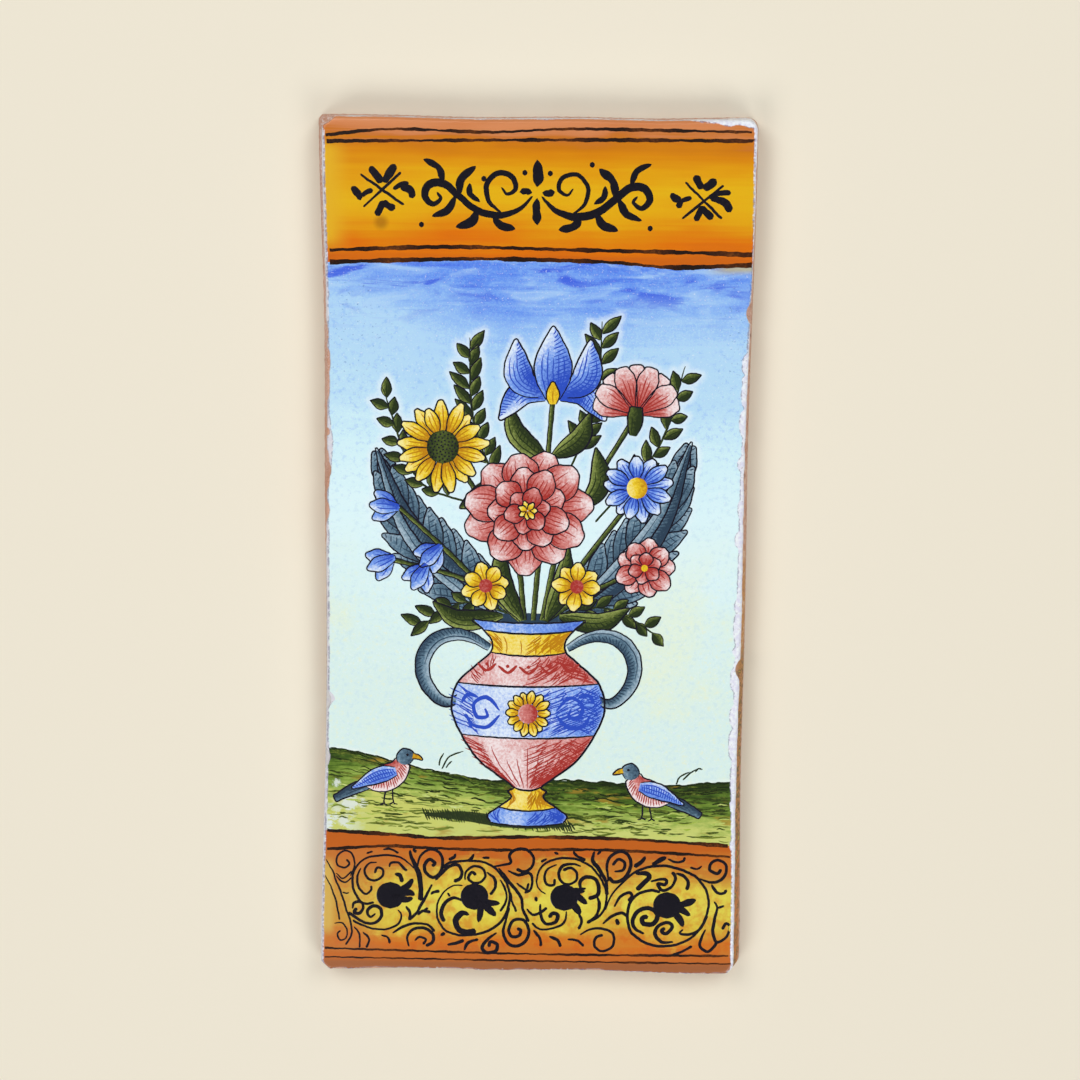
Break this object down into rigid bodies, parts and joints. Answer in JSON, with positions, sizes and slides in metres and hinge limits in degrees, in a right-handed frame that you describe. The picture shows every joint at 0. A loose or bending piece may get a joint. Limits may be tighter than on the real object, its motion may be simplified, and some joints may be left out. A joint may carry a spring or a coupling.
{
  "type": "decorative tile",
  "caption": "Tall rectangular wall tile of hand-cut terracotta with a painted tin-glaze face, flared sides, softened front edges and knocked corners.",
  "frame": {"origin": "middle of the overall outline, on the flat back", "axes": "+X to the picture's right, +Y to its top, +Z out of the painted face"},
  "size_m": [0.1999, 0.3999, 0.016],
  "materials": {
    "glazed_terracotta": "painted tin glaze on the face, bare terracotta on the sides and back"
  },
  "bodies": {
    "root": {"tile": "glazed_terracotta"}
  },
  "joints": []
}
